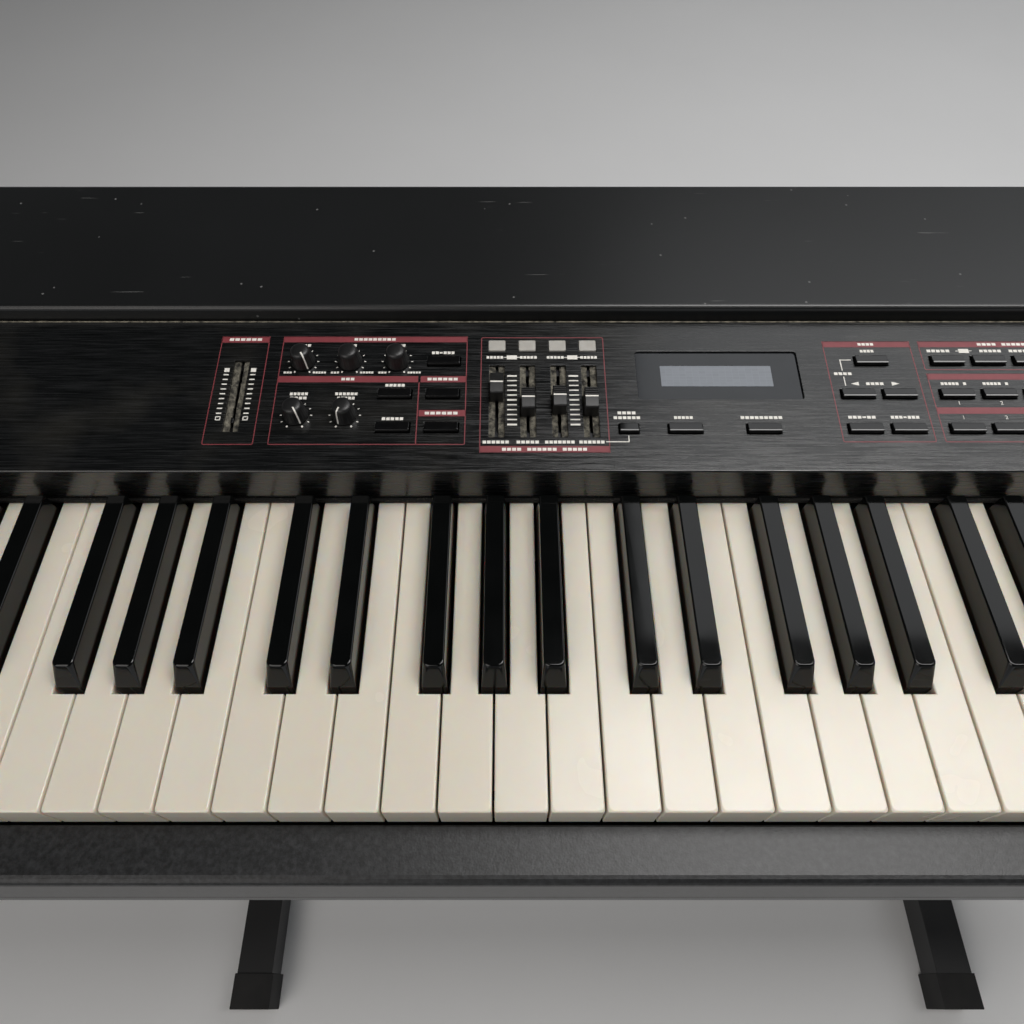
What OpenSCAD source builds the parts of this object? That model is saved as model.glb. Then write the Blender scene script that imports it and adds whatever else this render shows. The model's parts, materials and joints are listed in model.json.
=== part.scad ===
// Full-size digital stage piano resting on an adjustable tubular stand.
// X runs along the keyboard towards the treble, Y from the player to the back, Z up from the floor.

/* [Keyboard] */
// Pitch of the white keys
key_pitch = 23.5; // [23.3:0.1:23.7]
// Gap between two white keys
key_gap = 1; // [0.8:0.1:1.2]
// Height of the sharps above the naturals
sharp_rise = 12; // [11:0.5:13]
// Travel of a key at its front edge
key_travel = 10; // [9:0.5:10]

/* [Case] */
// Overall length of the case
case_len = 1390; // [1380:5:1410]
// Height of the white key tops above the floor
key_top_z = 733; // [725:1:740]
// Thickness of the bottom board
board_t = 12; // [10:1:14]
// Thickness of the folded sheet covers
sheet_t = 2; // [1.5:0.5:2]
// Slope of the control panel in degrees
panel_tilt = 6.7; // [6:0.1:7]

/* [Controls] */
// Length of a push button cap
button_len = 16.8; // [16:0.2:17.2]
// Depth of a push button cap, across the panel's slope
button_dep = 5.4; // [5:0.1:5.6]
// Height of a button above the panel
button_rise = 2.4; // [2:0.2:3]
// Clearance between a button cap and its hole
button_gap = 0.6; // [0.5:0.1:0.7]
// Base radius of a rotary knob
knob_r = 6.3; // [6:0.1:6.6]
// Height of a rotary knob
knob_h = 10.5; // [9:0.5:12]
// Travel of the slide controls
fader_travel = 30; // [28:1:30]

/* [Stand] */
// Side of the square stand tube
tube = 40; // [38:1:40]
// Wall of the stand tube
tube_wall = 2; // [1.5:0.5:3]
// Distance of each side frame from the middle
frame_x = 400; // [395:5:405]
// Half length of a foot bar, without its rubber ends
foot_half = 232; // [228:1:234]

/* [Hidden] */
$fn = 48;

// Keyboard. Case coordinates start at the front edge and the top of the white keys.
key_front_y = -166;
white_count = 52;
key_h = 21;              // depth of a key's side walls
key_lip_h = 9.6;         // height of the raised lip on a key's front
key_lip_in = 0.3;        // how far the front below the lip stands back
notch_y = 50.7;          // start of the cut-outs for the sharps
notch_w = 14.2;
sharp_w = 11.8;
sharp_top_w = 9.4;
sharp_front_y = 52.5;
sharp_crest_y = 60;      // where the sloping front meets the top
sharp_back_y = 150;
sharp_arm_w = 9;
key_tail_y = 242;
key_skin = 2.4;          // wall thickness of the hollow keys
pivot_y = 235;
pivot_z = -14;
pivot_r = 2;
pivot_hole_r = 2.06;
SHARP_AFTER = [true, false, true, true, false, true, true];   // A B C D E F G
SHARP_SHIFT = [3.3, 0, -2.3, 2.5, 0, -3.3, 0];                // sharp's centre past the gap

// Case outline in case coordinates
case_front_y = -25;
case_back_y = 355.5;
case_bottom_z = -75;
floor_z = case_bottom_z + board_t;
side_t = 12;
side_x = case_len / 2 - side_t;
keys_half = white_count * key_pitch / 2 + 1;
lip_y = 154;             // front face of the panel's lip
lip_z = 3;               // lower edge of the lip
panel_z = 26.5;          // front edge of the sloping panel
panel_run = 93.6;        // length of the slope
shelf_y = 248;           // front face of the rear cover
shelf_z = 46.2;          // flat top of the rear cover
slip_top_z = -20;
slip_back_y = -1;
corner_r = 3;            // outer radius of the rear cover's folds

// Where the keys land: the felt on the stop rail and the domes on the contact board
function sunk(y) = -key_h - key_travel * (pivot_y - y) / pivot_y;
rail_y = 13.5;
dome_y = 115;
dome_h = 8.7;
pcb_t = 1.6;
stop_z = sunk(rail_y) - 0.4;
contact_z = sunk(dome_y) - 0.6 - dome_h - pcb_t;
felt_t = 1.2;

// Control rows: distances up the slope from the panel's front edge
row_top = 66.5;
row_mid = 45.8;
row_low = 24.8;
row_efx = 32.8;
EQ_X = [-219.5, -194.6, -169.7];
FADER_X = [-117, -100.9, -84.8, -68.7];
FADER_S = [48.7, 39.6, 40.8, 39.9];   // resting places of the four caps
slot_w = 8;
slot_len = 44.4;
fader_mid = 42;
volume_x = -252;
volume_mid = 45.2;
volume_s = volume_mid - fader_travel / 2;
switch_s = 76.6;
switch_w = 9;
switch_d = 6.8;
switch_rise = 0.8;
cap_deep = 3.2;          // how far a button's cap goes down below the panel's face
stem_z = -7.2;           // lower end of the stem that presses the switch
stem_r = 1.6;
BANK_X = [for (i = [0:7]) 121.3 + 21.9 * i];
lcd_x = -0.8;
lcd_s = 58;
lcd_w = 86;
lcd_d = 30.6;
panel_pcb_z = -16;       // lower face of the panel's circuit board

// Stand, measured from the floor
foot_z = 5;
arm_top_z = key_top_z + case_bottom_z - 6;
arm_z = arm_top_z - tube / 2;
foot_mid_z = foot_z + tube / 2;
boot_y = 205;            // where the rubber boot on a foot bar starts
arm_half = 170;
upper_bar_y = 100;
lower_bar_y = 150;
stub_r = 17;
sleeve_r = 19;
sleeve_half = 300;
stub_in_x = 180;
screw_x = 280;
screw_r = 4;

module on_case() translate([0, key_front_y, key_top_z]) children();
module on_panel() on_case() translate([0, lip_y, panel_z]) rotate([panel_tilt, 0, 0]) children();
// A shape drawn in the (Y, Z) plane, extruded from x0 to x1
module along_x(x0, x1) translate([x0, 0, 0]) rotate([90, 0, 90]) linear_extrude(x1 - x0) children();
// A shape drawn in the (X, Z) plane, extruded from y0 to y1
module along_y(y0, y1) translate([0, y1, 0]) rotate([90, 0, 0]) linear_extrude(y1 - y0) children();
module rod_x(x0, x1, r) translate([x0, 0, 0]) rotate([0, 90, 0]) cylinder(h = x1 - x0, r = r);
module rod_y(y0, y1, r) translate([0, y1, 0]) rotate([90, 0, 0]) cylinder(h = y1 - y0, r = r);
// A block centred on x and y, with its lower face at z0
module block(size, at, z0) translate([at.x - size.x / 2, at.y - size.y / 2, z0]) cube(size);
// Points of a quarter turn, used to round an outline's corner
function arc(cx, cy, r, a0, a1, n) =
    [for (i = [0:n]) let (a = a0 + (a1 - a0) * i / n) [cx + r * cos(a), cy + r * sin(a)]];

// ---------------------------------------------------------------- keys

function white_x(i) = (i - white_count / 2) * key_pitch;
function has_sharp(i) = i >= 0 && i < white_count - 1 && SHARP_AFTER[i % 7];
function sharp_x(i) = white_x(i + 1) + SHARP_SHIFT[i % 7];

module pivot_hole(x0, x1) translate([0, pivot_y, pivot_z]) rod_x(x0 - 1, x1 + 1, pivot_hole_r);

module white_key(i) {
    x0 = white_x(i) + key_gap / 2;
    x1 = white_x(i + 1) - key_gap / 2;
    n0 = has_sharp(i - 1) ? sharp_x(i - 1) + notch_w / 2 : x0;
    n1 = has_sharp(i) ? sharp_x(i) - notch_w / 2 : x1;
    tail_block = 18;
    difference() {
        union() {
            along_x(x0, x1) polygon([[0, 0], [notch_y, 0], [notch_y, -key_h],
                [key_lip_in, -key_h], [key_lip_in, -key_lip_h], [0, -key_lip_h]]);
            translate([n0, notch_y - 5, -key_h]) cube([n1 - n0, key_tail_y - notch_y + 5, key_h]);
        }
        translate([x0 + key_skin, key_lip_in + key_skin, -key_h - 1])
            cube([x1 - x0 - 2 * key_skin, notch_y - key_lip_in - 2 * key_skin, key_h + 1 - key_skin]);
        translate([n0 + key_skin, notch_y, -key_h - 1])
            cube([n1 - n0 - 2 * key_skin, key_tail_y - tail_block - notch_y, key_h + 1 - key_skin]);
        pivot_hole(n0, n1);
    }
}

module black_key(i) {
    c = sharp_x(i);
    base = key_h - 1;
    difference() {
        union() {
            intersection() {
                along_x(c - sharp_w, c + sharp_w) polygon([[sharp_front_y, -base], [sharp_front_y, 0],
                    [sharp_crest_y, sharp_rise], [sharp_back_y, sharp_rise], [sharp_back_y, -base]]);
                translate([c, 0, 0]) along_y(0, pivot_y) polygon([[-sharp_w / 2, -base],
                    [sharp_w / 2, -base], [sharp_w / 2, 0], [sharp_top_w / 2, sharp_rise],
                    [-sharp_top_w / 2, sharp_rise], [-sharp_w / 2, 0]]);
            }
            translate([c - sharp_arm_w / 2, sharp_back_y - 5, -base])
                cube([sharp_arm_w, key_tail_y - sharp_back_y + 5, base - 1]);
        }
        translate([c - sharp_arm_w / 2 + key_skin, sharp_crest_y, -base - 1])
            cube([sharp_arm_w - 2 * key_skin, sharp_back_y + 70 - sharp_crest_y, base - 2]);
        pivot_hole(c - sharp_arm_w, c + sharp_arm_w);
    }
}

// All the naturals of one letter, counted from A
module naturals(letter) color("ivory") on_case() for (i = [letter:7:white_count - 1]) white_key(i);
// All the sharps that follow one letter
module sharps(letter) color([0.04, 0.04, 0.045])
    on_case() for (i = [letter:7:white_count - 1]) if (has_sharp(i)) black_key(i);

// ---------------------------------------------------------------- case

module bottom_board() color([0.1, 0.1, 0.1]) on_case()
    translate([-side_x, case_front_y, case_bottom_z]) cube([2 * side_x, case_back_y - case_front_y, board_t]);

module side_boards() color([0.08, 0.08, 0.085]) on_case() for (side = [0, 1]) mirror([side, 0, 0])
    along_x(side_x, case_len / 2) polygon(concat(
        [[case_back_y, case_bottom_z], [case_back_y, shelf_z], [shelf_y, shelf_z],
            [shelf_y, panel_z + 12.5], [lip_y, panel_z + 1]],
        arc(5, -9, 30, 85, 180, 8), [[case_front_y, case_bottom_z]]));

module bender_well() translate([-648, 92, 0]) cylinder(h = 60, r = 25);

module key_blocks() color([0.07, 0.07, 0.075]) on_case() difference() {
    for (side = [0, 1]) mirror([side, 0, 0])
        along_x(keys_half + 0.5, side_x - 0.2) polygon(concat(
            [[lip_y - 0.4, floor_z], [lip_y - 0.4, panel_z - 1]],
            arc(2, -9, 27, 84, 180, 8), [[case_front_y, floor_z]]));
    bender_well();
    translate([-648, 92, -20]) cylinder(h = 30, r = 4.05);
}

module key_slip() color([0.1, 0.1, 0.105]) on_case() difference() {
    along_x(-keys_half, keys_half) polygon(concat(
        [[slip_back_y, floor_z], [slip_back_y, slip_top_z]],
        arc(case_front_y + 4, slip_top_z - 4, 4, 90, 180, 4), [[case_front_y, floor_z]]));
    translate([-keys_half + 20, case_front_y + 8, floor_z - 1])
        cube([2 * keys_half - 40, slip_back_y - case_front_y - 12, slip_top_z - floor_z - 6]);
}

// Rear sockets: distances along the back from the middle, all at one height
back_z = -18;
PHONE_X = [-420, -385, -330, -295, -240, -205, -150];
MIDI_X = [-80, -50, -20];
inlet_x = 560;
power_x = 500;
phone_hole_r = 4.8;
midi_r = 8.6;
inlet_w = 28;
inlet_h = 22;
rocker_w = 20;
rocker_h = 13;
rocker_tilt = 8;

module rear_cover() color([0.11, 0.11, 0.115]) on_case() difference() {
    along_x(-side_x + 0.2, side_x - 0.2) polygon(concat([[shelf_y, 30]],
        arc(shelf_y + corner_r, shelf_z - corner_r, corner_r, 180, 90, 6),
        arc(case_back_y - corner_r, shelf_z - corner_r, corner_r, 90, 0, 6),
        [[case_back_y, floor_z], [case_back_y - 14, floor_z],
        [case_back_y - 14, floor_z + sheet_t], [case_back_y - sheet_t, floor_z + sheet_t],
        [case_back_y - sheet_t, shelf_z - sheet_t], [shelf_y + sheet_t, shelf_z - sheet_t],
        [shelf_y + sheet_t, 30]]));
    for (x = PHONE_X) translate([x, 0, back_z]) rod_y(case_back_y - 5, case_back_y + 5, phone_hole_r);
    for (x = MIDI_X) translate([x, 0, back_z]) rod_y(case_back_y - 5, case_back_y + 5, midi_r);
    block([inlet_w, 10, inlet_h], [inlet_x, case_back_y], back_z - inlet_h / 2);
    block([rocker_w + 4, 10, rocker_h + 4], [power_x, case_back_y], back_z - rocker_h / 2 - 2);
}

// Every button: [x, row, cap length]
EFFECT_BUTTONS = [[-145, row_top], [-145, row_mid], [-145, row_low + 0.6],
    [-169.7, row_mid], [-169.7, row_low + 0.6]];
MODE_BUTTONS = [[-21.4, row_low], [18.5, row_low]];
EDIT_BUTTONS = [[81, row_top + 0.3], [70.1, row_mid], [91.6, row_mid], [69.8, row_low], [91.8, row_low]];
SELECT_BUTTONS = [for (i = [0:3]) [BANK_X[i], row_top + 0.5]];
TONE_BUTTONS = [for (x = BANK_X) [x, row_mid]];
VARIATION_BUTTONS = [for (x = BANK_X) [x, row_low]];
MODIFY_BUTTON = [-50, row_low];
modify_len = 9.4;
LONG_BUTTONS = concat(EFFECT_BUTTONS, MODE_BUTTONS, EDIT_BUTTONS, SELECT_BUTTONS,
    TONE_BUTTONS, VARIATION_BUTTONS);
SWITCHES = [for (x = FADER_X) [x, switch_s]];
KNOBS = [[EQ_X[0], row_top], [EQ_X[1], row_top], [EQ_X[2], row_top], [EQ_X[0], row_efx], [EQ_X[1], row_efx]];

module hole(len, dep, at) block([len, dep, 20], at, -15);

module control_panel() color([0.09, 0.09, 0.1]) difference() {
    union() {
        on_case() translate([-side_x + 0.2, lip_y, lip_z])
            cube([2 * side_x - 0.4, sheet_t, panel_z - lip_z - 0.5]);
        on_case() along_x(-side_x + 0.2, side_x - 0.2) polygon([[lip_y, panel_z - 4], [lip_y, panel_z],
            [lip_y + panel_run * cos(panel_tilt), panel_z + panel_run * sin(panel_tilt)],
            [lip_y + panel_run * cos(panel_tilt), panel_z + panel_run * sin(panel_tilt) - sheet_t],
            [lip_y + sheet_t, panel_z - sheet_t], [lip_y + sheet_t, panel_z - 4]]);
    }
    on_panel() {
        for (b = LONG_BUTTONS) hole(button_len + 2 * button_gap, button_dep + 2 * button_gap, b);
        hole(modify_len + 2 * button_gap, button_dep + 2 * button_gap, MODIFY_BUTTON);
        for (b = SWITCHES) hole(switch_w + 0.5, switch_d + 0.5, b);
        for (x = FADER_X) hole(slot_w, slot_len, [x, fader_mid]);
        hole(slot_w, slot_len, [volume_x, volume_mid]);
        hole(lcd_w, lcd_d, [lcd_x, lcd_s]);
        for (k = KNOBS) translate([k.x, k.y, -5]) cylinder(h = 10, r = 3.8);
    }
}

module key_felts() color([0.25, 0.22, 0.2]) on_case() {
    translate([-keys_half + 1, lip_y - 1.5, 0.7]) cube([2 * keys_half - 2, 8, lip_z - 0.7]);
    translate([-keys_half + 10, rail_y - 2, stop_z - felt_t]) cube([2 * keys_half - 20, 4, felt_t]);
}

// ---------------------------------------------------------------- inside

// The thin brackets stand in the gaps between a sharp's arm and the natural on its left
BRACKET_X = [for (i = [0:7:48]) sharp_x(i) - (notch_w + sharp_arm_w) / 4];
end_bracket_x = keys_half - 0.4;

module key_chassis() color([0.6, 0.6, 0.58]) on_case() difference() {
    union() {
        along_x(-keys_half + 4, keys_half - 4) polygon([[10, floor_z], [248, floor_z],
            [248, floor_z + sheet_t],
            [rail_y + 1, floor_z + sheet_t], [rail_y + 1, stop_z - felt_t], [rail_y - 1, stop_z - felt_t],
            [rail_y - 1, floor_z + sheet_t], [10, floor_z + sheet_t]]);
        for (x = BRACKET_X) block([1.6, 16, 57], [x, pivot_y - 1], floor_z);
        for (side = [-1, 1]) {
            block([1.4, 16, 57], [side * end_bracket_x, pivot_y - 1], floor_z);
            block([8, 16, sheet_t], [side * (end_bracket_x - 3.3), pivot_y - 1], floor_z);
        }
    }
    translate([0, pivot_y, pivot_z]) rod_x(-keys_half - 5, keys_half + 5, pivot_r);
}

module key_pivot_rod() color("silver") on_case()
    translate([0, pivot_y, pivot_z]) rod_x(-keys_half, keys_half, pivot_r);

module contact_board() color([0.1, 0.35, 0.15]) on_case() {
    translate([-keys_half + 12, 92, contact_z]) cube([2 * keys_half - 24, 46, pcb_t]);
    for (i = [0:white_count - 1]) translate([white_x(i) + key_pitch / 2, dome_y, contact_z + pcb_t])
        cylinder(h = dome_h, r1 = 4.5, r2 = 3);
    for (x = [-500:250:500]) translate([x, 132, floor_z + sheet_t])
        cylinder(h = contact_z - floor_z - sheet_t, r = 4);
}

module lcd_window() color([0.3, 0.32, 0.34]) on_panel()
    block([lcd_w - 0.2, lcd_d - 0.2, 2], [lcd_x, lcd_s], -3.2);

module lcd_module() color([0.55, 0.58, 0.6]) on_panel() {
    block([62, 17, 2.2], [-1.5, lcd_s], -5.4);
    block([98, 38, pcb_t], [lcd_x, lcd_s], -7);
}

fader_body_h = 9;
fader_body_z = -12.5;
fader_slit = 2.2;
module fader_body(at) difference() {
    block([slot_w, slot_len, fader_body_h], at, fader_body_z);
    block([fader_slit, fader_travel + 5, fader_body_h], at, fader_body_z + 3);
}
module fader_bodies() color([0.5, 0.48, 0.42]) on_panel() {
    for (x = FADER_X) fader_body([x, fader_mid]);
    fader_body([volume_x, volume_mid]);
}

module pot_bodies() color([0.3, 0.3, 0.32]) on_panel() for (k = KNOBS) difference() {
    union() {
        block([10, 11, 8], k, -11);
        translate([k.x, k.y, -4]) cylinder(h = 3.4, r = 3.6);
    }
    translate([k.x, k.y, -9]) cylinder(h = 12, r = 2.06);
}

board_mid_x = 10;
board_w = 566;
module panel_board() color([0.1, 0.35, 0.15]) on_panel() {
    block([board_w, 84, pcb_t], [board_mid_x, 46], panel_pcb_z);
    for (b = concat(LONG_BUTTONS, SWITCHES, [MODIFY_BUTTON])) block([5, 5, 6], b, panel_pcb_z + pcb_t);
}

module main_board() color([0.08, 0.3, 0.13]) on_case() {
    translate([-460, 258, -50]) cube([560, 60, pcb_t]);
    for (x = [-420:70:60]) translate([x, 268, -48.4]) cube([22, 30, 3]);
    for (x = [-450, -180, 90], y = [262, 314]) translate([x, y, floor_z]) cylinder(h = 13, r = 3);
}

module power_supply() color([0.55, 0.55, 0.55]) on_case() {
    translate([440, 262, floor_z]) cube([160, 58, 1.6]);
    translate([450, 268, floor_z + 1.6]) cube([56, 46, 42]);
    for (x = [530, 560]) translate([x, 290, floor_z + 1.6]) cylinder(h = 26, r = 9);
}

// Phone jack: square body inside, threaded bush through the wall, nut outside
jack_bore_r = 3.2;
module phone_jack() difference() {
    union() {
        translate([-9, case_back_y - sheet_t - 22, -9]) cube([18, 22, 18]);
        rod_y(case_back_y - sheet_t - 1, case_back_y + 3, 4.6);
        rod_y(case_back_y, case_back_y + 2, 7);
    }
    rod_y(case_back_y - 20, case_back_y + 4, jack_bore_r);
}
module phone_jacks() color([0.12, 0.12, 0.12]) on_case()
    for (x = PHONE_X) translate([x, 0, back_z]) phone_jack();

module midi_socket() difference() {
    union() {
        translate([-10, case_back_y - sheet_t - 14, -10]) cube([20, 14, 20]);
        rod_y(case_back_y - sheet_t - 1, case_back_y + 0.8, midi_r - 0.2);
    }
    rod_y(case_back_y - 9, case_back_y + 2, 6.6);
}
module midi_sockets() color([0.07, 0.07, 0.07]) on_case()
    for (x = MIDI_X) translate([x, 0, back_z]) midi_socket();

module ac_inlet() color([0.06, 0.06, 0.06]) on_case() translate([inlet_x, 0, back_z]) {
    difference() {
        block([inlet_w - 0.6, 25, inlet_h - 0.6], [0, case_back_y - 11.5], -(inlet_h - 0.6) / 2);
        block([inlet_w - 4, 20, inlet_h - 5], [0, case_back_y - 7], -(inlet_h - 5) / 2);
    }
    difference() {
        block([inlet_w + 14, 1.5, inlet_h + 4], [0, case_back_y + 0.75], -(inlet_h + 4) / 2);
        block([inlet_w - 1, 5, inlet_h - 1], [0, case_back_y], -(inlet_h - 1) / 2);
    }
    for (p = [[-7, -2], [0, 2.5], [7, -2]]) block([2, 10, 4], [p.x, case_back_y - 13], p.y - 2);
}

FOOT_AT = [for (x = [-640, 640], y = [22, 318]) [x, y]];
module case_feet() color([0.05, 0.05, 0.05]) on_case()
    for (p = FOOT_AT) translate([p.x, p.y, case_bottom_z - 10]) cylinder(h = 10, r1 = 12, r2 = 14);

SCREW_AT = [for (x = [-600, -200, 0, 200, 600], y = [-12, 230, 348]) [x, y]];
module case_screws() color([0.15, 0.15, 0.15]) on_case() for (p = SCREW_AT)
    translate([p.x, p.y, case_bottom_z - 2.4]) difference() {
        cylinder(h = 2.4, r1 = 3.2, r2 = 4);
        block([0.9, 4.4, 1.5], [0, 0], -0.5);
        block([4.4, 0.9, 1.5], [0, 0], -0.5);
    }

// ---------------------------------------------------------------- controls

module button(at, len) on_panel() {
    block([len, button_dep, button_rise + cap_deep], at, -cap_deep);
    block([len + 2, button_dep + 2, 1.2], at, -cap_deep - 0.7);
    translate([at.x, at.y, stem_z]) cylinder(h = 4, r = stem_r);
}
module buttons(list) color([0.05, 0.05, 0.055]) for (b = list) button(b, button_len);
module mode_buttons() color([0.05, 0.05, 0.055]) {
    for (b = MODE_BUTTONS) button(b, button_len);
    button(MODIFY_BUTTON, modify_len);
}

module part_switches() color([0.8, 0.76, 0.68]) on_panel() for (b = SWITCHES) {
    block([switch_w, switch_d, switch_rise + cap_deep], b, -cap_deep);
    block([switch_w + 1.6, switch_d + 1.6, 1], b, -cap_deep - 0.7);
    translate([b.x, b.y, stem_z]) cylinder(h = 4, r = stem_r);
}

lever_w = 1.4;
lever_d = 3;
lever_z = -8.6;
module fader(i) color([0.05, 0.05, 0.05]) on_panel() {
    at = [FADER_X[i], FADER_S[i]];
    block([6.9, 12.7, 9], at, -1.2);
    block([lever_w, lever_d, 7.6], at, lever_z);
}
module volume_lever() color([0.2, 0.2, 0.2]) on_panel()
    block([lever_w, lever_d, 8.2], [volume_x, volume_s], lever_z);

module knob(at) color([0.05, 0.05, 0.05]) on_panel() translate([at.x, at.y, 0]) {
    difference() {
        translate([0, 0, 0.4]) cylinder(h = knob_h - 0.4, r1 = knob_r, r2 = knob_r - 0.9);
        cylinder(h = 3, r = 4.4);
    }
    translate([0, 0, -8]) cylinder(h = 12, r = 2);
}

// The paddle turns left and right on its post
module bender_lever() color([0.1, 0.1, 0.1]) on_case() translate([-648, 92, 0]) {
    translate([0, 0, -19]) cylinder(h = 25, r = 4);
    translate([0, 0, 0.5]) cylinder(h = 15, r = 9);
    translate([-3, -20, 6]) cube([6, 18, 14]);
    translate([-3, -23, 6]) cube([6, 5, 26]);
}

// The rocker is drawn in its off position, tipped about the pin through its middle
module power_switch() color([0.06, 0.06, 0.06]) on_case() translate([power_x, case_back_y - 4, back_z]) {
    rotate([rocker_tilt, 0, 0]) block([rocker_w - 3, 8, rocker_h - 2], [0, 1], -(rocker_h - 2) / 2);
    rod_x(-rocker_w / 2, rocker_w / 2, 1.5);
}

// ---------------------------------------------------------------- stand

diag_foot_y = 190;
diag_arm_y = -140;
diag_rise = arm_z - foot_mid_z;
diag_len = sqrt(pow(diag_foot_y - diag_arm_y, 2) + pow(diag_rise, 2));
diag_angle = atan2(diag_rise, diag_arm_y - diag_foot_y);

// The three bars of a side frame seen from the side, each half_w thick either way
module frame_outline(half_w, cut) {
    translate([-foot_half + cut, foot_mid_z - half_w]) square([2 * (foot_half - cut), 2 * half_w]);
    translate([-arm_half + cut, arm_z - half_w]) square([2 * (arm_half - cut), 2 * half_w]);
    translate([diag_foot_y, foot_mid_z]) rotate(diag_angle)
        translate([0, -half_w]) square([diag_len, 2 * half_w]);
}

module side_frame(side) color([0.06, 0.06, 0.06]) mirror([side, 0, 0]) {
    difference() {
        along_x(frame_x - tube / 2, frame_x + tube / 2) frame_outline(tube / 2, 0);
        along_x(frame_x - tube / 2 + tube_wall, frame_x + tube / 2 - tube_wall)
            frame_outline(tube / 2 - tube_wall, tube_wall);
    }
    for (bar = [[upper_bar_y, arm_z], [lower_bar_y, foot_mid_z]]) translate([0, bar.x, bar.y]) difference() {
        rod_x(stub_in_x, frame_x - tube / 2 + 1, stub_r);
        rod_x(stub_in_x - 1, frame_x - tube / 2 - 2, stub_r - 2);
    }
}

module side_rubbers(side) color([0.04, 0.04, 0.04]) mirror([side, 0, 0]) {
    for (end = [0, 1]) mirror([0, end, 0]) difference() {
        translate([frame_x - tube / 2 - 2, boot_y, 0])
            cube([tube + 4, foot_half + 8 - boot_y, foot_z + tube + 2]);
        translate([frame_x - tube / 2, boot_y - 1, foot_z]) cube([tube, foot_half - boot_y + 1, tube]);
    }
    for (y = [-150, 60]) translate([frame_x - tube / 2, y, arm_top_z]) cube([tube, 90, 6]);
}

module crossbars() color([0.07, 0.07, 0.07]) {
    for (bar = [[upper_bar_y, arm_z], [lower_bar_y, foot_mid_z]]) translate([0, bar.x, bar.y]) difference() {
        union() {
            rod_x(-sleeve_half, sleeve_half, sleeve_r);
            if (bar.y == arm_z) for (x = [-screw_x, screw_x]) translate([x, 0, 0]) rod_y(15, 27, 8);
        }
        rod_x(-sleeve_half - 1, sleeve_half + 1, stub_r + 0.3);
        if (bar.y == arm_z) for (x = [-screw_x, screw_x]) translate([x, 0, 0]) rod_y(10, 30, screw_r + 0.05);
    }
}

module clamp_knob(x) color([0.05, 0.05, 0.05]) translate([x, upper_bar_y, arm_z]) {
    rod_y(stub_r + 0.5, 36, screw_r);
    difference() {
        rod_y(29, 47, 17);
        for (a = [0:72:359]) rotate([0, a, 0]) translate([21, 0, 0]) rod_y(28, 48, 7);
    }
}

bottom_board();
side_boards();
key_blocks();
key_slip();
rear_cover();
control_panel();
key_felts();
key_chassis();
key_pivot_rod();
contact_board();
lcd_window();
lcd_module();
fader_bodies();
pot_bodies();
panel_board();
main_board();
power_supply();
phone_jacks();
midi_sockets();
ac_inlet();
case_feet();
case_screws();
naturals(0);  // key_a
naturals(1);  // key_b
naturals(2);  // key_c
naturals(3);  // key_d
naturals(4);  // key_e
naturals(5);  // key_f
naturals(6);  // key_g
sharps(0);  // key_a_sharp
sharps(2);  // key_c_sharp
sharps(3);  // key_d_sharp
sharps(5);  // key_f_sharp
sharps(6);  // key_g_sharp
volume_lever();
fader(0);  // fader_1
fader(1);  // fader_2
fader(2);  // fader_3
fader(3);  // fader_4
knob(KNOBS[0]);  // knob_low
knob(KNOBS[1]);  // knob_mid
knob(KNOBS[2]);  // knob_high
knob(KNOBS[3]);  // knob_rate
knob(KNOBS[4]);  // knob_depth
part_switches();
buttons(EFFECT_BUTTONS);  // effect_buttons
mode_buttons();
buttons(EDIT_BUTTONS);  // edit_buttons
buttons(SELECT_BUTTONS);  // part_select_buttons
buttons(TONE_BUTTONS);  // tone_buttons
buttons(VARIATION_BUTTONS);  // variation_buttons
bender_lever();
power_switch();
crossbars();
side_frame(1);  // left_frame
side_frame(0);  // right_frame
side_rubbers(1);  // left_rubbers
side_rubbers(0);  // right_rubbers
clamp_knob(-screw_x);  // clamp_knob_left
clamp_knob(screw_x);  // clamp_knob_right
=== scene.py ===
import json
import math
import random

import bmesh
import bpy
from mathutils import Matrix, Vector


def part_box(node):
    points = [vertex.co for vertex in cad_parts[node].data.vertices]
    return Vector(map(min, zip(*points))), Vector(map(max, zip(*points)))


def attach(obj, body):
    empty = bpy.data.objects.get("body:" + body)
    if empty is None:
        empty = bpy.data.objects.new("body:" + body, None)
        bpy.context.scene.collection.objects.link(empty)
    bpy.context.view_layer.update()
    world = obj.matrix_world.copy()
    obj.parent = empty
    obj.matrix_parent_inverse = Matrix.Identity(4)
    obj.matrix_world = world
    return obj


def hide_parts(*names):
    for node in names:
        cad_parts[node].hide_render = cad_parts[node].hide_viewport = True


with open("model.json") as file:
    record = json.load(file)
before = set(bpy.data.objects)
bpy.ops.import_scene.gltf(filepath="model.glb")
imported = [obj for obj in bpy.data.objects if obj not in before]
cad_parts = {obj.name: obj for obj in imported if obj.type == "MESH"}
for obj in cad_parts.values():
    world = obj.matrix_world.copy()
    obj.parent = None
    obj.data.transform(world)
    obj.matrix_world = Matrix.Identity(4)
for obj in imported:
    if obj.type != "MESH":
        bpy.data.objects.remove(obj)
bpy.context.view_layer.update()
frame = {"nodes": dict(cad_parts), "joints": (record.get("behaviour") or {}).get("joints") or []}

MM = 0.001

# ---------------------------------------------------------------- camera
# Held by hand above the keyboard, left of its middle, looking forwards and down at the panel.
CAMERA_PLACE = (-0.1117, -0.2315, 1.0667)
CAMERA_DOWN = 57.47          # degrees below the horizon
LENS, SENSOR = 26.93, 36.0

camera = bpy.data.objects.new("camera", bpy.data.cameras.new("camera"))
bpy.context.scene.collection.objects.link(camera)
camera.location = CAMERA_PLACE
camera.rotation_euler = (math.radians(90 - CAMERA_DOWN), 0, 0)
camera.data.sensor_width = SENSOR
camera.data.lens = LENS
camera.data.shift_x = 0.0049
camera.data.clip_start = 0.01
bpy.context.scene.camera = camera


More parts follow.
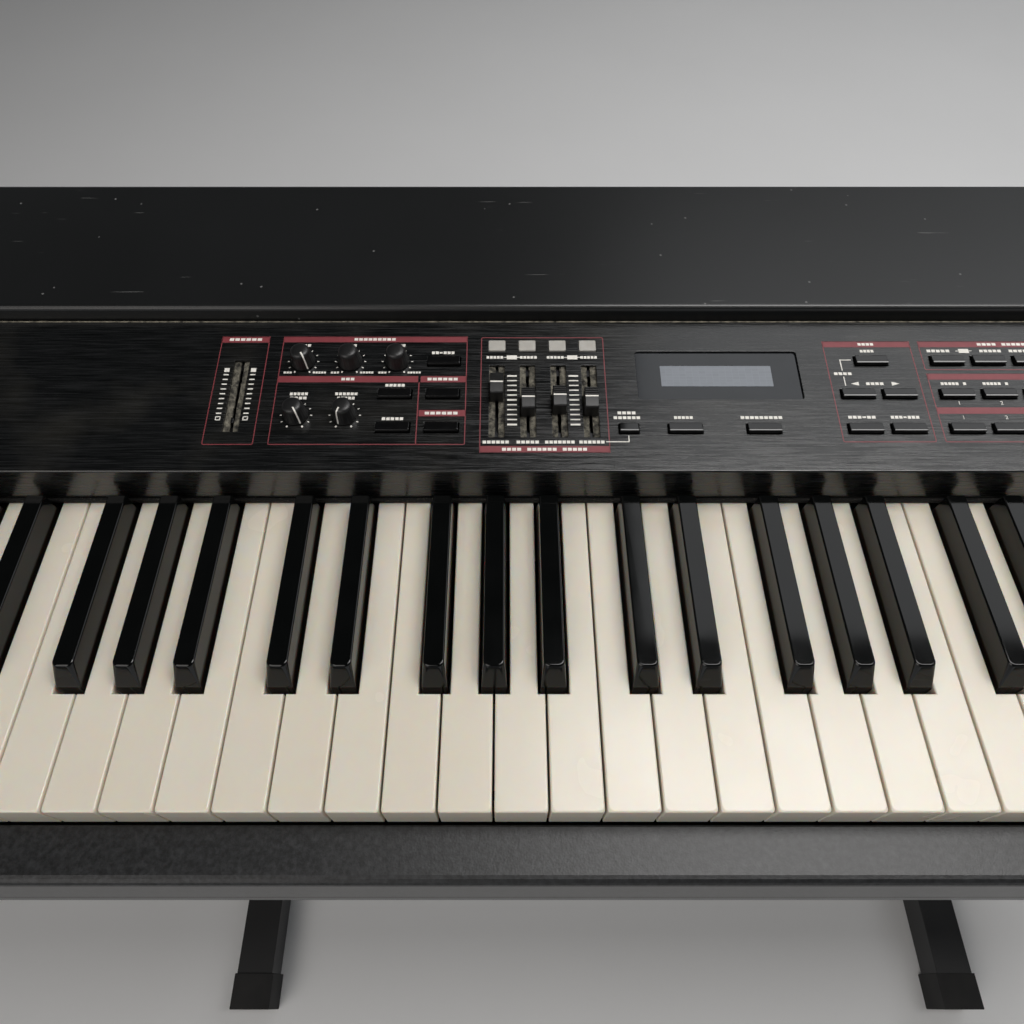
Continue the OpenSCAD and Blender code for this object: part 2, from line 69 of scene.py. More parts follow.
# ---------------------------------------------------------------- stand frames and crossbars
# Two welded Z-shaped side frames of square steel tube slide in two round crossbars.
# All of it is powder coated satin black: a fine orange peel, broad soft highlights, faint handling marks.

def add_node(tree, kind, inputs=None, **settings):
    """Adds a shader node with its settings. An input is a value, or another node's output to link."""
    node = tree.nodes.new(kind)
    for key, value in settings.items():
        setattr(node, key, value)
    for key, value in (inputs or {}).items():
        if isinstance(value, bpy.types.NodeSocket):
            tree.links.new(value, node.inputs[key])
        else:
            node.inputs[key].default_value = value
    return node


def srgb(code):
    """An sRGB hex colour as linear RGBA."""
    levels = [int(code[i:i + 2], 16) / 255 for i in (1, 3, 5)]
    return (*[v / 12.92 if v <= 0.04045 else ((v + 0.055) / 1.055) ** 2.4 for v in levels], 1.0)


def start_material(name, roughness, metallic=0.0):
    """A new material, with its node tree, its surface shader and its object coordinates."""
    material = bpy.data.materials.new(name)
    material.use_nodes = True
    tree = material.node_tree
    shader = tree.nodes["Principled BSDF"]
    shader.inputs["Roughness"].default_value = roughness
    shader.inputs["Metallic"].default_value = metallic
    return material, tree, shader, add_node(tree, "ShaderNodeTexCoord").outputs["Object"]


def colour_mix(tree, share, first, second):
    """The colour that runs from first to second with share; each is a hex colour or a node's output."""
    # A Mix node has a pair of sockets for each data type: its colours are inputs 6 and 7, and output 2
    ends = [srgb(end) if isinstance(end, str) else end for end in (first, second)]
    return add_node(tree, "ShaderNodeMix", {0: share, 6: ends[0], 7: ends[1]}, data_type="RGBA").outputs[2]


def dress(node_name, material, edge=0.0, steps=3):
    """Gives a CAD node its material and, where edge is set, rounds its sharp edges by that many mm."""
    piece = frame["nodes"][node_name]
    piece.data.materials.clear()
    piece.data.materials.append(material)
    if edge:
        piece.modifiers.new("weld", "WELD").merge_threshold = 0.01 * MM
        flat = piece.modifiers.new("one face per plane", "DECIMATE")
        flat.decimate_type = "DISSOLVE"
        flat.angle_limit = math.radians(0.5)
        bevel = piece.modifiers.new("edge radius", "BEVEL")
        bevel.width = edge * MM
        bevel.segments = steps
        bevel.limit_method = "ANGLE"
        bevel.angle_limit = math.radians(40)
        piece.modifiers.new("even shading", "WEIGHTED_NORMAL").keep_sharp = True
    return piece


powder_coat, tree, shader, place = start_material("powder coated steel", 0.42)
peel = add_node(tree, "ShaderNodeTexNoise", {"Vector": place, "Scale": 1 / (1.6 * MM), "Detail": 3.0})
marks = add_node(tree, "ShaderNodeTexNoise", {"Vector": place, "Scale": 1 / (60 * MM), "Detail": 5.0})
coat = colour_mix(tree, marks.outputs["Fac"], "#121213", "#262627")
bump = add_node(tree, "ShaderNodeBump", {"Height": peel.outputs["Fac"], "Strength": 0.3, "Distance": 0.1 * MM})
tree.links.new(coat, shader.inputs["Base Color"])
tree.links.new(bump.outputs["Normal"], shader.inputs["Normal"])

for node_name in ("left_frame", "right_frame"):
    dress(node_name, powder_coat, edge=3.0, steps=4)
dress("crossbars", powder_coat, edge=0.8)

# ---------------------------------------------------------------- stand rubbers and clamp screws
# Moulded rubber boots close the foot bars and ribbed rubber pads lie on the top arms.
# Two hand screws with moulded star heads lock the width.

rubber, tree, shader, place = start_material("moulded rubber", 0.78)
bloom = add_node(tree, "ShaderNodeTexNoise", {"Vector": place, "Scale": 1 / (25 * MM), "Detail": 6.0})
grain = add_node(tree, "ShaderNodeTexNoise", {"Vector": place, "Scale": 1 / (0.9 * MM), "Detail": 2.0})
skin = colour_mix(tree, bloom.outputs["Fac"], "#0f0f0f", "#2b2a29")
bump = add_node(tree, "ShaderNodeBump", {"Height": grain.outputs["Fac"], "Strength": 0.4, "Distance": 0.1 * MM})
tree.links.new(skin, shader.inputs["Base Color"])
tree.links.new(bump.outputs["Normal"], shader.inputs["Normal"])

for node_name in ("left_rubbers", "right_rubbers"):
    dress(node_name, rubber, edge=2.5, steps=4)

black_plastic, tree, shader, place = start_material("moulded black ABS", 0.38)
spark = add_node(tree, "ShaderNodeTexNoise", {"Vector": place, "Scale": 1 / (0.7 * MM), "Detail": 2.0})
dust = add_node(tree, "ShaderNodeTexNoise", {"Vector": place, "Scale": 1 / (14 * MM), "Detail": 5.0})
tone = colour_mix(tree, dust.outputs["Fac"], "#0b0b0c", "#191919")
bump = add_node(tree, "ShaderNodeBump", {"Height": spark.outputs["Fac"], "Strength": 0.25,
                                         "Distance": 0.05 * MM})
tree.links.new(tone, shader.inputs["Base Color"])
tree.links.new(bump.outputs["Normal"], shader.inputs["Normal"])

for node_name in ("clamp_knob_left", "clamp_knob_right"):
    dress(node_name, black_plastic, edge=1.2)

# ---------------------------------------------------------------- case boards
# The bottom, sides and key slip are particle board wrapped in black grained vinyl.
# The vinyl has a pebble grain with pale worn specks on its peaks.

vinyl, tree, shader, place = start_material("grained vinyl laminate", 0.42)
pebble = add_node(tree, "ShaderNodeTexVoronoi", {"Vector": place, "Scale": 1 / (1.0 * MM)})
worn = add_node(tree, "ShaderNodeTexNoise", {"Vector": place, "Scale": 1 / (2.6 * MM), "Detail": 8.0,
                                              "Roughness": 0.7})
specks = add_node(tree, "ShaderNodeMapRange", {"Value": worn.outputs["Fac"], "From Min": 0.4, "From Max": 0.72})
skin = colour_mix(tree, specks.outputs["Result"], "#0e0f10", "#2e2f31")
bump = add_node(tree, "ShaderNodeBump", {"Height": pebble.outputs["Distance"], "Strength": 0.3,
                                         "Distance": 0.12 * MM})
tree.links.new(skin, shader.inputs["Base Color"])
tree.links.new(bump.outputs["Normal"], shader.inputs["Normal"])

dress("bottom_board", vinyl, edge=0.8)
dress("side_boards", vinyl, edge=2.0, steps=4)
dress("key_slip", vinyl, edge=1.0)
dress("case_feet", rubber, edge=1.2)

# The blocks beside the keys are moulded, with a finer grain than the vinyl.
dress("key_blocks", black_plastic, edge=1.5, steps=4)

# ---------------------------------------------------------------- screws
# Cross-head machine screws, chemically blackened: dark, a little shiny on their rims.

blacked, tree, shader, place = start_material("blackened steel", 0.35, metallic=1.0)
turned = add_node(tree, "ShaderNodeTexNoise", {"Vector": place, "Scale": 1 / (0.8 * MM), "Detail": 3.0})
tone = colour_mix(tree, turned.outputs["Fac"], "#2a2a2c", "#4a4a4c")
tree.links.new(tone, shader.inputs["Base Color"])
dress("case_screws", blacked, edge=0.25, steps=2)

# ---------------------------------------------------------------- action: chassis, rod and contacts
# A zinc plated sheet chassis carries the ground pivot rod; rubber domes stand on the contact board.
# Zinc shows a dull grey spangle; the rod gets the same spangle, not its turning lines.

zinc, tree, shader, place = start_material("zinc plated steel", 0.4, metallic=1.0)
spangle = add_node(tree, "ShaderNodeTexVoronoi", {"Vector": place, "Scale": 1 / (6 * MM)})
tone = colour_mix(tree, spangle.outputs["Distance"], "#b9bcbd", "#8f9394")
tree.links.new(tone, shader.inputs["Base Color"])
dress("key_chassis", zinc)
dress("key_pivot_rod", zinc)
dress("pot_bodies", zinc)
dress("power_supply", zinc)

board, tree, shader, place = start_material("circuit board", 0.45)
tracks = add_node(tree, "ShaderNodeTexBrick", {"Vector": place, "Scale": 1 / (12 * MM),
                                               "Color1": srgb("#14502c"), "Color2": srgb("#1a5d34"),
                                               "Mortar": srgb("#2c7a48")})
tree.links.new(tracks.outputs["Color"], shader.inputs["Base Color"])
for node_name in ("contact_board", "panel_board", "main_board"):
    dress(node_name, board)

# ---------------------------------------------------------------- keys
# Every key is injection moulded: the naturals in warm off-white, the sharps in polished black.
# Naturals have a lip along the front edge and finger-softened edges; sharps taper upwards.

KEY_GAP = 1.0
WHITE_COUNT = 52
LIP_HEIGHT, LIP_STEP = 9.6, 0.3
FRONT_CORNER, TOP_CORNER, TOP_EDGE = 0.9, 3.4, 0.9     # radii of a natural's corners and top edge
CORNER_START = -2.2                                    # where its upright corners start to open out
SHARP_CROWN = 0.75                                     # radius along the top edges of a sharp
KEY_DEPTH = 21.0
NOTCH_START, NOTCH_WIDTH = 50.7, 14.2
SHARP_FRONT, SHARP_CREST, SHARP_BACK = 52.5, 59.2, 150.0
SHARP_WIDTH, SHARP_TOP_WIDTH, SHARP_RISE = 11.8, 9.4, 12.0
SHARP_ARM = 9.0
LETTERS = "abcdefg"
SHARP_SHIFT = {"a": 3.3, "c": -2.3, "d": 2.5, "f": -3.3, "g": 0.0}

natural_low, natural_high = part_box("key_a")
keys_left = natural_low.x / MM - KEY_GAP / 2
keys_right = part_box("key_c")[1].x / MM + KEY_GAP / 2
key_pitch = (keys_right - keys_left) / WHITE_COUNT
key_front = natural_low.y / MM
key_top = natural_high.z / MM
key_tail = (natural_high.y - natural_low.y) / MM


def letter_of(i):
    return LETTERS[i % 7]


def has_sharp(i):
    return 0 <= i < WHITE_COUNT - 1 and letter_of(i) in SHARP_SHIFT


def gap_x(i):
    """The middle of the gap on the left of natural i."""
    return keys_left + i * key_pitch


def sharp_x(i):
    return gap_x(i + 1) + SHARP_SHIFT[letter_of(i)]


def at_keys(x, y, z):
    """A point measured in mm from the key fronts and tops."""
    return Vector((x, key_front + y, key_top + z)) * MM


def rounded(x0, y0, x1, y1, radii, steps=4):
    """A rectangle's outline, anticlockwise from its near left corner, with a radius for each corner."""
    centres = [(x0, y0, 1, 1), (x1, y0, -1, 1), (x1, y1, -1, -1), (x0, y1, 1, -1)]
    points = []
    for corner, ((x, y, sx, sy), r) in enumerate(zip(centres, radii)):
        if not r:
            points.append((x, y))
            continue
        for k in range(steps + 1):
            a = math.pi * (1 + corner / 2 + k / steps / 2)
            points.append((x + sx * r + r * math.cos(a), y + sy * r + r * math.sin(a)))
    return points


def inset(outline, depth):
    """The outline moved inwards by depth, with mitred corners."""
    moved = []
    for k, point in enumerate(outline):
        here = Vector(point)
        back = (here - Vector(outline[k - 1])).normalized()
        ahead = (Vector(outline[(k + 1) % len(outline)]) - here).normalized()
        inward = Vector((-back.y - ahead.y, back.x + ahead.x)) / (1 + back.dot(ahead))
        moved.append(tuple(here + inward * depth))
    return moved


def loft(bm, rings, closed=False):
    """A skin through rings of equal length, with end caps, or joined end to start where closed."""
    loops = [[bm.verts.new(point) for point in ring] for ring in rings]
    pairs = list(zip(loops, loops[1:] + loops[:1] if closed else loops[1:]))
    for low, high in pairs:
        for k in range(len(low)):
            bm.faces.new((low[k - 1], low[k], high[k], high[k - 1]))
    if not closed:
        bm.faces.new(list(reversed(loops[0])))
        bm.faces.new(loops[-1])
    return [vert for loop in loops for vert in loop]


def softened(outline, low, high, radius, place, steps=3):
    """The rings of an upright block whose top edge has that radius."""
    rings = [[place(x, y, low) for x, y in outline]]
    for k in range(steps + 1):
        a = math.pi / 2 * k / steps
        level = high - radius * (1 - math.sin(a))
        rings.append([place(x, y, level) for x, y in inset(outline, radius * (1 - math.cos(a)))])
    return rings


def make_piece(name, bm, material, body, stands_for=()):
    """Turns a bmesh into a named piece that moves with a body."""
    bmesh.ops.recalc_face_normals(bm, faces=bm.faces)
    mesh = bpy.data.meshes.new(name)
    bm.to_mesh(mesh)
    bm.free()
    mesh.shade_smooth()
    mesh.set_sharp_from_angle(angle=math.radians(38))
    mesh.materials.append(material)
    piece = bpy.data.objects.new(name, mesh)
    bpy.context.scene.collection.objects.link(piece)
    piece.modifiers.new("even shading", "WEIGHTED_NORMAL").keep_sharp = True
    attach(piece, body)
    if stands_for:
        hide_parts(*stands_for)
    return piece


def natural_rings(i):
    """The rings of natural i, from its foot up, with the cut-outs beside its sharps."""
    x0, x1 = gap_x(i) + KEY_GAP / 2, gap_x(i + 1) - KEY_GAP / 2
    n0 = sharp_x(i - 1) + NOTCH_WIDTH / 2 if has_sharp(i - 1) else x0
    n1 = sharp_x(i) - NOTCH_WIDTH / 2 if has_sharp(i) else x1

    def outline(corner):
        shape = rounded(x0, 0, x1, NOTCH_START, (corner, corner, 0, 0), steps=6)[:-2]
        shape += [(x1, NOTCH_START), (n1, NOTCH_START)] if n1 < x1 else []
        shape += [(n1, key_tail), (n0, key_tail)]
        return shape + ([(n0, NOTCH_START), (x0, NOTCH_START)] if n0 > x0 else [])

    square = outline(FRONT_CORNER)
    stepped = [(x, max(y, LIP_STEP)) for x, y in square]
    rings = [[at_keys(x, y, -KEY_DEPTH) for x, y in stepped],
             [at_keys(x, y, -LIP_HEIGHT - 0.3) for x, y in stepped],
             [at_keys(x, y, -LIP_HEIGHT) for x, y in inset(square, 0.2)],
             [at_keys(x, y, 0.2 - LIP_HEIGHT) for x, y in square]]
    # The upright corners are nearly square, and open out into the rounded corners of the top
    for k in range(7):
        a = math.pi / 2 * k / 6
        corner = FRONT_CORNER + (TOP_CORNER - FRONT_CORNER) * (k / 6) ** 0.7
        level = -TOP_EDGE * (1 - math.sin(a)) if k else CORNER_START
        rings.append([at_keys(x, y, level) for x, y in inset(outline(corner), TOP_EDGE * (1 - math.cos(a)))])
    return rings


def sharp_rings(i):
    """The rings of the sharp above natural i, and those of the arm behind it."""
    c = sharp_x(i)

    def outline(height, pull=0.0):
        share = max(height, 0) / SHARP_RISE
        half = (SHARP_WIDTH + (SHARP_TOP_WIDTH - SHARP_WIDTH) * share) / 2
        # The front slopes back, and its corners grow rounder towards the crest
        front = SHARP_FRONT + (SHARP_CREST - SHARP_FRONT) * share
        corner = 0.7 + 2.3 * share ** 1.5
        shape = rounded(c - half, front, c + half, SHARP_BACK, (corner, corner, 1.2, 1.2), steps=6)
        return [at_keys(x, y, height) for x, y in inset(shape, pull)]

    rings = [outline(1 - KEY_DEPTH)] + [outline(height) for height in (0, 2, 4, 6, 8, 9.5, 10.6)]
    for k in range(6):
        a = math.pi / 2 * k / 5
        rings.append(outline(SHARP_RISE - SHARP_CROWN * (1 - math.sin(a)), SHARP_CROWN * (1 - math.cos(a))))
    arm = [(c - SHARP_ARM / 2, SHARP_BACK - 4), (c + SHARP_ARM / 2, SHARP_BACK - 4),
           (c + SHARP_ARM / 2, key_tail), (c - SHARP_ARM / 2, key_tail)]
    return rings, [[at_keys(x, y, z) for x, y in arm] for z in (1 - KEY_DEPTH, -2)]


ivory, tree, shader, place = start_material("moulded key ivory", 0.33)
shader.inputs["Subsurface Weight"].default_value = 0.5
shader.inputs["Subsurface Radius"].default_value = (5.0 * MM, 2.4 * MM, 1.1 * MM)
shader.inputs["Subsurface Scale"].default_value = 1.0
tone = add_node(tree, "ShaderNodeAttribute", attribute_name="tone")
soil = add_node(tree, "ShaderNodeTexNoise", {"Vector": place, "Scale": 1 / (35 * MM), "Detail": 2.0})
clean = colour_mix(tree, tone.outputs["Fac"], "#ded8cb", "#dbd4c6")
grime = add_node(tree, "ShaderNodeMapRange", {"Value": soil.outputs["Fac"], "From Min": 0.25, "From Max": 0.9,
                                              "To Max": 0.3})
aged = colour_mix(tree, grime.outputs["Result"], clean, "#d2c8b4")
polish = add_node(tree, "ShaderNodeMapRange", {"Value": soil.outputs["Fac"], "To Min": 0.22, "To Max": 0.3})
ripple = add_node(tree, "ShaderNodeTexNoise", {"Vector": place, "Scale": 1 / (1.5 * MM), "Detail": 2.0})
bump = add_node(tree, "ShaderNodeBump", {"Height": ripple.outputs["Fac"], "Strength": 0.06,
                                         "Distance": 0.05 * MM})
tree.links.new(aged, shader.inputs["Base Color"])
tree.links.new(polish.outputs["Result"], shader.inputs["Roughness"])
tree.links.new(bump.outputs["Normal"], shader.inputs["Normal"])

ebony, tree, shader, place = start_material("polished black key", 0.08)
shader.inputs["IOR"].default_value = 1.42
wiped = add_node(tree, "ShaderNodeTexNoise", {"Vector": place, "Scale": 1 / (18 * MM), "Detail": 6.0})
polish = add_node(tree, "ShaderNodeMapRange", {"Value": wiped.outputs["Fac"], "To Min": 0.03, "To Max": 0.13})
dusty = colour_mix(tree, wiped.outputs["Fac"], "#040505", "#0b0c0c")
tree.links.new(dusty, shader.inputs["Base Color"])
tree.links.new(polish.outputs["Result"], shader.inputs["Roughness"])

shade = random.Random(88)
for first, letter in enumerate(LETTERS):
    bm = bmesh.new()
    tone_layer = bm.verts.layers.float.new("tone")
    for i in range(first, WHITE_COUNT, 7):
        value = shade.random()
        for vert in loft(bm, natural_rings(i)):
            vert[tone_layer] = value
    make_piece(f"natural_{letter}", bm, ivory, f"key_{letter}", [f"key_{letter}"])
    if letter in SHARP_SHIFT:
        bm = bmesh.new()
        for i in range(first, WHITE_COUNT - 1, 7):
            for rings in sharp_rings(i):
                loft(bm, rings)
        name = f"key_{letter}_sharp"
        make_piece(f"sharp_{letter}", bm, ebony, name, [name])

# ---------------------------------------------------------------- control panel
# One 2 mm aluminium sheet, brushed along its length, folded down at the front and anodised black.
# Brushing shows as long fine streaks; the fold's small radius catches the light as a bright line.

SHEET = 2.0
FOLD_RADIUS = 1.0
PANEL_RUN = 93.6

button_joint = next(j for j in frame["joints"] if j["name"] == "tone_buttons_press")
panel_normal = -Vector(button_joint["axis"])
panel_up = Vector((0, panel_normal.z, -panel_normal.y))
panel_low, panel_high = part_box("control_panel")
panel_rise = (panel_high.y - panel_low.y) * panel_up.z / panel_up.y
panel_corner = Vector((0, panel_low.y, panel_high.z - panel_rise))
lip_drop = (panel_corner.z - panel_low.z) / MM


def on_panel(x, s, h):
    """A point in mm: x from the middle, s up the slope from the panel's front edge, h above its face."""
    return panel_corner + Vector((x * MM, 0, 0)) + panel_up * (s * MM) + panel_normal * (h * MM)


def panel_profile():
    """The folded sheet's section as (y, z) from its front corner, anticlockwise."""
    slope = Vector((panel_up.y, panel_up.z))
    square = Vector((panel_normal.y, panel_normal.z))
    turn = math.atan2(square.y, square.x)
    reach = FOLD_RADIUS * math.tan((math.pi - turn) / 2)
    centre = Vector((FOLD_RADIUS, -reach))
    outer = [centre + FOLD_RADIUS * Vector((math.cos(a), math.sin(a)))
             for a in (math.pi + (turn - math.pi) * k / 6 for k in range(7))]
    end = slope * PANEL_RUN
    inner_corner = Vector((SHEET, -SHEET))
    return [Vector((0, -lip_drop)), *outer, end, end - square * SHEET, inner_corner,
            Vector((SHEET, -lip_drop))]


BUTTON_LENGTH, BUTTON_DEPTH, BUTTON_GAP = 16.8, 5.4, 0.6
ROW_TOP, ROW_MID, ROW_LOW, ROW_EFFECT = 66.5, 45.8, 24.8, 32.8
SLOT_WIDTH, SLOT_LENGTH = 8.0, 44.4
FADER_X = [-117.0, -100.9, -84.8, -68.7]
FADER_MIDDLE = 42.0
VOLUME_X, VOLUME_MIDDLE = -252.0, 45.2
SWITCH_S, SWITCH_WIDTH, SWITCH_DEPTH = 76.6, 9.0, 6.8
LCD_X, LCD_S, LCD_WIDTH, LCD_DEPTH = -0.8, 58.0, 86.0, 30.6
KNOBS = {"low": (-219.5, ROW_TOP), "mid": (-194.6, ROW_TOP), "high": (-169.7, ROW_TOP),
         "rate": (-219.5, ROW_EFFECT), "depth": (-194.6, ROW_EFFECT)}
BANK_X = [121.3 + 21.9 * i for i in range(8)]
BUTTONS = {
    "effect_buttons": [(-145, ROW_TOP), (-145, ROW_MID), (-145, ROW_LOW + 0.6),
                       (-169.7, ROW_MID), (-169.7, ROW_LOW + 0.6)],
    "mode_buttons": [(-21.4, ROW_LOW), (18.5, ROW_LOW), (-50, ROW_LOW)],
    "edit_buttons": [(81, ROW_TOP + 0.3), (70.1, ROW_MID), (91.6, ROW_MID), (69.8, ROW_LOW), (91.8, ROW_LOW)],
    "part_select_buttons": [(x, ROW_TOP + 0.5) for x in BANK_X[:4]],
    "tone_buttons": [(x, ROW_MID) for x in BANK_X],
    "variation_buttons": [(x, ROW_LOW) for x in BANK_X],
}
SHORT_BUTTON, SHORT_LENGTH = (-50, ROW_LOW), 9.4


def button_length(at):
    return SHORT_LENGTH if at == SHORT_BUTTON else BUTTON_LENGTH


def centred(x, s, width, depth, radius, steps=3):
    return rounded(x - width / 2, s - depth / 2, x + width / 2, s + depth / 2, [radius] * 4, steps)


def cut_holes(piece, outlines, low, high):
    """Cuts upright holes of these outlines through a panel piece, once and for all."""
    bm = bmesh.new()
    for outline in outlines:
        loft(bm, [[on_panel(x, s, h) for x, s in outline] for h in (low, high)])
    bmesh.ops.recalc_face_normals(bm, faces=bm.faces)
    cutter = bpy.data.objects.new("cutter", bpy.data.meshes.new("cutter"))
    bm.to_mesh(cutter.data)
    bm.free()
    bpy.context.scene.collection.objects.link(cutter)
    cut = piece.modifiers.new("holes", "BOOLEAN")
    cut.operation = "DIFFERENCE"
    cut.object = cutter
    cut.solver = "EXACT"
    shape = piece.evaluated_get(bpy.context.evaluated_depsgraph_get())
    mesh = bpy.data.meshes.new_from_object(shape)
    piece.modifiers.clear()
    piece.data = mesh
    bpy.data.objects.remove(cutter)


holes = [centred(x, s, button_length((x, s)) + 2 * BUTTON_GAP, BUTTON_DEPTH + 2 * BUTTON_GAP, 0.5)
         for group in BUTTONS.values() for x, s in group]
holes += [centred(x, FADER_MIDDLE, SLOT_WIDTH, SLOT_LENGTH, 0.5) for x in FADER_X]
holes += [centred(VOLUME_X, VOLUME_MIDDLE, SLOT_WIDTH, SLOT_LENGTH, 0.5)]
holes += [centred(x, SWITCH_S, SWITCH_WIDTH + 0.5, SWITCH_DEPTH + 0.5, 0.4) for x in FADER_X]
holes += [centred(LCD_X, LCD_S, LCD_WIDTH, LCD_DEPTH, 1.6, 5)]
holes += [[(x + 3.8 * math.cos(a), s + 3.8 * math.sin(a)) for a in (2 * math.pi * k / 24 for k in range(24))]
          for x, s in KNOBS.values()]

anodised, tree, shader, place = start_material("brushed black anodised aluminium", 0.2)
shader.inputs["IOR"].default_value = 1.6
along = add_node(tree, "ShaderNodeMapping", {"Vector": place, "Scale": (0.03, 1, 1)})
streak = add_node(tree, "ShaderNodeTexNoise", {"Vector": along.outputs["Vector"], "Scale": 1 / (0.8 * MM),
                                               "Detail": 4.0, "Roughness": 0.65})
cloud = add_node(tree, "ShaderNodeTexNoise", {"Vector": place, "Scale": 1 / (45 * MM), "Detail": 7.0})
line = add_node(tree, "ShaderNodeMapRange", {"Value": streak.outputs["Fac"], "From Min": 0.3, "From Max": 0.75})
film = colour_mix(tree, line.outputs["Result"], "#030404", "#1a1b1c")
haze = add_node(tree, "ShaderNodeMapRange", {"Value": cloud.outputs["Fac"], "From Min": 0.5, "From Max": 0.85,
                                             "To Max": 0.16})
dusted = colour_mix(tree, haze.outputs["Result"], film, "#5a574f")
# Fluff has gathered where the panel runs under the rear cover
apart = add_node(tree, "ShaderNodeSeparateXYZ", {0: place})
rear_edge = on_panel(0, PANEL_RUN, 0).y
near_edge = add_node(tree, "ShaderNodeMapRange", {"Value": apart.outputs["Y"], "From Min": rear_edge - 1.1 * MM,
                                                  "From Max": rear_edge - 0.6 * MM})
lumps = add_node(tree, "ShaderNodeTexNoise", {"Vector": place, "Scale": 1 / (3.5 * MM), "Detail": 4.0})
tufts = add_node(tree, "ShaderNodeMapRange", {"Value": lumps.outputs["Fac"], "From Min": 0.3, "From Max": 0.62})
fluff = add_node(tree, "ShaderNodeMath", {0: near_edge.outputs["Result"], 1: tufts.outputs["Result"]},
                 operation="MULTIPLY")
edged = colour_mix(tree, fluff.outputs["Value"], dusted, "#857f70")
sheen = add_node(tree, "ShaderNodeMapRange", {"Value": line.outputs["Result"], "To Min": 0.1, "To Max": 0.42})
bump = add_node(tree, "ShaderNodeBump", {"Height": streak.outputs["Fac"], "Strength": 0.6,
                                         "Distance": 0.08 * MM})
tree.links.new(edged, shader.inputs["Base Color"])
tree.links.new(sheen.outputs["Result"], shader.inputs["Roughness"])
tree.links.new(bump.outputs["Normal"], shader.inputs["Normal"])

bm = bmesh.new()
loft(bm, [[panel_corner + Vector((x, p.x * MM, p.y * MM)) for p in panel_profile()]
          for x in (panel_low.x, panel_high.x)])
panel = make_piece("brushed_panel", bm, anodised, "piano", ["control_panel"])
cut_holes(panel, holes, -8, 8)
rim = panel.modifiers.new("hole edges", "BEVEL")
rim.width = 0.22 * MM
rim.segments = 2
rim.limit_method = "ANGLE"
rim.angle_limit = math.radians(50)
panel.modifiers.new("even shading", "WEIGHTED_NORMAL").keep_sharp = True

# ---------------------------------------------------------------- panel printing
# Screen printed frames, bands and legends: a dull red ink and a warm white ink, baked on the panel.
# The legends are plain marks, with no words; only digits, arrows and scale marks mean anything.

RED_INK, WHITE_INK = 0.05, 0.1     # thickness of each ink; the white is printed over the red
LINE = 0.5


def flat_shape(bm, outline, ink=WHITE_INK):
    loft(bm, [[on_panel(x, s, h) for x, s in outline] for h in (0.005, ink)])


def bar(bm, x0, s0, x1, s1, ink=WHITE_INK):
    flat_shape(bm, [(x0, s0), (x1, s0), (x1, s1), (x0, s1)], ink)


def frame_line(bm, x0, s0, x1, s1, radius):
    """A printed frame: a thin band round a rounded rectangle."""
    outer = rounded(x0, s0, x1, s1, [radius] * 4, 4)
    inner = inset(outer, LINE)
    rings = [[on_panel(x, s, h) for x, s in ring]
             for ring, h in ((outer, 0.005), (outer, RED_INK), (inner, RED_INK), (inner, 0.005))]
    loft(bm, rings, closed=True)


def legend(bm, x, s, letters, width, height=1.7):
    """A row of plain blocks centred on x: as many as letters, with a gap for each space."""
    pitch = width / len(letters)
    for k, letter in enumerate(letters):
        if letter == " ":
            continue
        left = x - width / 2 + k * pitch
        tall = height * (0.55 if letter == "-" else 1)
        bar(bm, left + pitch * 0.08, s - tall / 2, left + pitch * 0.86, s + tall / 2)


red_ink, tree, shader, place = start_material("red screen ink", 0.5)
rub = add_node(tree, "ShaderNodeTexNoise", {"Vector": place, "Scale": 1 / (3 * MM), "Detail": 4.0})
tone = colour_mix(tree, rub.outputs["Fac"], "#702a30", "#83393f")
tree.links.new(tone, shader.inputs["Base Color"])

FRAMES = [(-265.0, 15.3, -239.1, 83.1), (-231.9, 15.3, -132.8, 83.1), (-125.6, 10.8, -60.0, 82.5),
          (57.2, 16.8, 104.2, 79.8), (108.5, 61.0, 200.8, 79.8), (108.5, 16.8, 287.6, 58.7)]
BANDS = [(-265.0, 79.0, -239.1, 83.1), (-231.9, 79.2, -132.8, 83.1), (-231.9, 53.2, -158.2, 57.1),
         (-156.9, 53.2, -132.8, 57.1), (-156.9, 32.2, -132.8, 36.0), (-125.6, 10.8, -60.0, 14.6),
         (57.2, 75.9, 104.2, 79.8), (108.5, 75.9, 200.8, 79.8), (108.5, 54.9, 287.6, 58.7),
         (108.5, 33.7, 287.6, 37.6)]
DIVIDER = (-157.9, 15.3, -157.3, 53.2)

bm = bmesh.new()
for corners in FRAMES:
    frame_line(bm, *corners, 1.0)
for corners in BANDS + [DIVIDER]:
    bar(bm, *corners, RED_INK)
make_piece("printed_frames", bm, red_ink, "piano")

white_ink, tree, shader, place = start_material("white screen ink", 0.5)
rub = add_node(tree, "ShaderNodeTexNoise", {"Vector": place, "Scale": 1 / (2 * MM), "Detail": 4.0})
tone = colour_mix(tree, rub.outputs["Fac"], "#f4f1ea", "#cfccc4")
tree.links.new(tone, shader.inputs["Base Color"])

ROW_STEP = 3.0               # spacing of the scale marks beside the slides
VOLUME_SCALE_X, VOLUME_SCALE_S = (-259.2, -245.2), 31.0
FADER_SCALE_X, FADER_SCALE_S = (-109.1, -76.9), 27.2

bm = bmesh.new()
# Volume scale: a filled square at the top, an open one at the bottom, bars between
for x in VOLUME_SCALE_X:
    bar(bm, x - 1.35, VOLUME_SCALE_S + 10 * ROW_STEP - 1.2, x + 1.35, VOLUME_SCALE_S + 10 * ROW_STEP + 1.2)
    frame_line(bm, x - 1.35, VOLUME_SCALE_S - 1.2, x + 1.35, VOLUME_SCALE_S + 1.2, 0.2)
    for k in range(1, 10):
        bar(bm, x - 1.35, VOLUME_SCALE_S + k * ROW_STEP - 0.35, x + 1.35, VOLUME_SCALE_S + k * ROW_STEP + 0.35)
